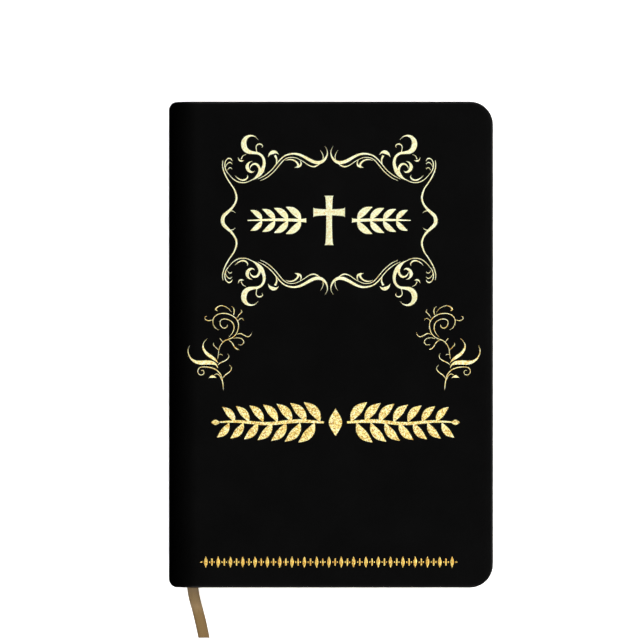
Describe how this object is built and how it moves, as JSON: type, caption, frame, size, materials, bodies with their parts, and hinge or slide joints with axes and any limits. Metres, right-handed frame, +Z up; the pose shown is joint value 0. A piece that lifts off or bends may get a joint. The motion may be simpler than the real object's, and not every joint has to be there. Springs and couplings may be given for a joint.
{
  "type": "bible",
  "caption": "Soft leather-look bible with rounded spine, gilt page edges, foil ornaments and a ribbon marker; covers open and the first leaves fan.",
  "frame": {"origin": "middle of the closed book's footprint, on the surface that its back cover lies on", "axes": "+X from the spine to the fore-edge, +Y from the tail to the head, +Z up through the front cover"},
  "size_m": [0.153, 0.2544, 0.0322],
  "materials": {
    "cover_leather": "satin",
    "liner_board": "matte",
    "endpaper": "matte",
    "bible_paper": "matte",
    "lining_paper": "matte",
    "mull_gauze": "matte",
    "linen_thread": "matte",
    "band_cloth": "satin",
    "satin_ribbon": "satin",
    "pale_gold_foil": "gloss",
    "glitter_gold_foil": "satin",
    "deep_gold_foil": "gloss"
  },
  "bodies": {
    "text_block": {"spine_leather": "cover_leather", "spine_lining": "lining_paper", "mull": "mull_gauze", "sewing_thread": "linen_thread", "headband": "band_cloth", "tailband": "band_cloth", "ribbon_marker": "satin_ribbon", "back_flyleaf": "endpaper", "signature_01": "bible_paper", "signature_02": "bible_paper", "signature_03": "bible_paper", "signature_04": "bible_paper", "signature_05": "bible_paper", "signature_06": "bible_paper", "signature_07": "bible_paper", "signature_08": "bible_paper", "signature_09": "bible_paper", "signature_10": "bible_paper", "signature_11": "bible_paper", "signature_12": "bible_paper", "signature_13": "bible_paper", "signature_14": "bible_paper", "signature_15": "bible_paper", "signature_16": "bible_paper", "signature_17": "bible_paper", "signature_18": "bible_paper", "signature_19": "bible_paper", "signature_20": "bible_paper", "signature_21": "bible_paper", "signature_22": "bible_paper"},
    "front_cover": {"front_cover_leather": "cover_leather", "front_cover_board": "liner_board", "front_pastedown": "endpaper", "title_frame_foil": "pale_gold_foil", "cross_foil": "pale_gold_foil", "vine_left_foil": "pale_gold_foil", "vine_right_foil": "pale_gold_foil", "branch_band_foil": "glitter_gold_foil", "lower_border_foil": "deep_gold_foil"},
    "back_cover": {"back_cover_leather": "cover_leather", "back_cover_board": "liner_board", "back_pastedown": "endpaper"},
    "flyleaf": {"front_flyleaf": "endpaper"},
    "title_page": {"title_leaf": "bible_paper"},
    "leaves_1": {"opening_leaves_1": "bible_paper"},
    "leaves_2": {"opening_leaves_2": "bible_paper"},
    "leaves_3": {"opening_leaves_3": "bible_paper"},
    "leaves_4": {"opening_leaves_4": "bible_paper"},
    "leaves_5": {"opening_leaves_5": "bible_paper"},
    "leaves_6": {"opening_leaves_6": "bible_paper"},
    "leaves_7": {"opening_leaves_7": "bible_paper"},
    "leaves_8": {"opening_leaves_8": "bible_paper"}
  },
  "joints": [
    {"name": "front_cover_hinge", "type": "hinge", "parent": "text_block", "child": "front_cover", "pos_m": [-0.069, 0, 0.0304], "axis": [0, -1, 0], "range_deg": [0, 179.5]},
    {"name": "back_cover_hinge", "type": "hinge", "parent": "text_block", "child": "back_cover", "pos_m": [-0.069, 0, 0.0016], "axis": [0, 1, 0], "range_deg": [0, 179.5]},
    {"name": "flyleaf_turn", "type": "hinge", "parent": "text_block", "child": "flyleaf", "pos_m": [-0.069, 0, 0.0304], "axis": [0, -1, 0], "range_deg": [0, 173.72]},
    {"name": "title_page_turn", "type": "hinge", "parent": "text_block", "child": "title_page", "pos_m": [-0.069, 0, 0.0304], "axis": [0, -1, 0], "range_deg": [0, 166.54]},
    {"name": "leaves_1_turn", "type": "hinge", "parent": "text_block", "child": "leaves_1", "pos_m": [-0.069, 0, 0.0304], "axis": [0, -1, 0], "range_deg": [0, 154.87]},
    {"name": "leaves_2_turn", "type": "hinge", "parent": "text_block", "child": "leaves_2", "pos_m": [-0.069, 0, 0.0304], "axis": [0, -1, 0], "range_deg": [0, 140.51]},
    {"name": "leaves_3_turn", "type": "hinge", "parent": "text_block", "child": "leaves_3", "pos_m": [-0.069, 0, 0.0304], "axis": [0, -1, 0], "range_deg": [0, 122.56]},
    {"name": "leaves_4_turn", "type": "hinge", "parent": "text_block", "child": "leaves_4", "pos_m": [-0.069, 0, 0.0304], "axis": [0, -1, 0], "range_deg": [0, 102.81]},
    {"name": "leaves_5_turn", "type": "hinge", "parent": "text_block", "child": "leaves_5", "pos_m": [-0.069, 0, 0.0304], "axis": [0, -1, 0], "range_deg": [0, 81.28]},
    {"name": "leaves_6_turn", "type": "hinge", "parent": "text_block", "child": "leaves_6", "pos_m": [-0.069, 0, 0.0304], "axis": [0, -1, 0], "range_deg": [0, 59.73]},
    {"name": "leaves_7_turn", "type": "hinge", "parent": "text_block", "child": "leaves_7", "pos_m": [-0.069, 0, 0.0304], "axis": [0, -1, 0], "range_deg": [0, 38.2]},
    {"name": "leaves_8_turn", "type": "hinge", "parent": "text_block", "child": "leaves_8", "pos_m": [-0.069, 0, 0.0304], "axis": [0, -1, 0], "range_deg": [0, 18.45]}
  ],
  "couplings": [
    {"joint": "flyleaf_turn", "follows": "front_cover_hinge", "ratio": 0.965},
    {"joint": "title_page_turn", "follows": "front_cover_hinge", "ratio": 0.925},
    {"joint": "leaves_1_turn", "follows": "front_cover_hinge", "ratio": 0.86},
    {"joint": "leaves_2_turn", "follows": "front_cover_hinge", "ratio": 0.78},
    {"joint": "leaves_3_turn", "follows": "front_cover_hinge", "ratio": 0.68},
    {"joint": "leaves_4_turn", "follows": "front_cover_hinge", "ratio": 0.57},
    {"joint": "leaves_5_turn", "follows": "front_cover_hinge", "ratio": 0.45},
    {"joint": "leaves_6_turn", "follows": "front_cover_hinge", "ratio": 0.33},
    {"joint": "leaves_7_turn", "follows": "front_cover_hinge", "ratio": 0.21},
    {"joint": "leaves_8_turn", "follows": "front_cover_hinge", "ratio": 0.1}
  ]
}
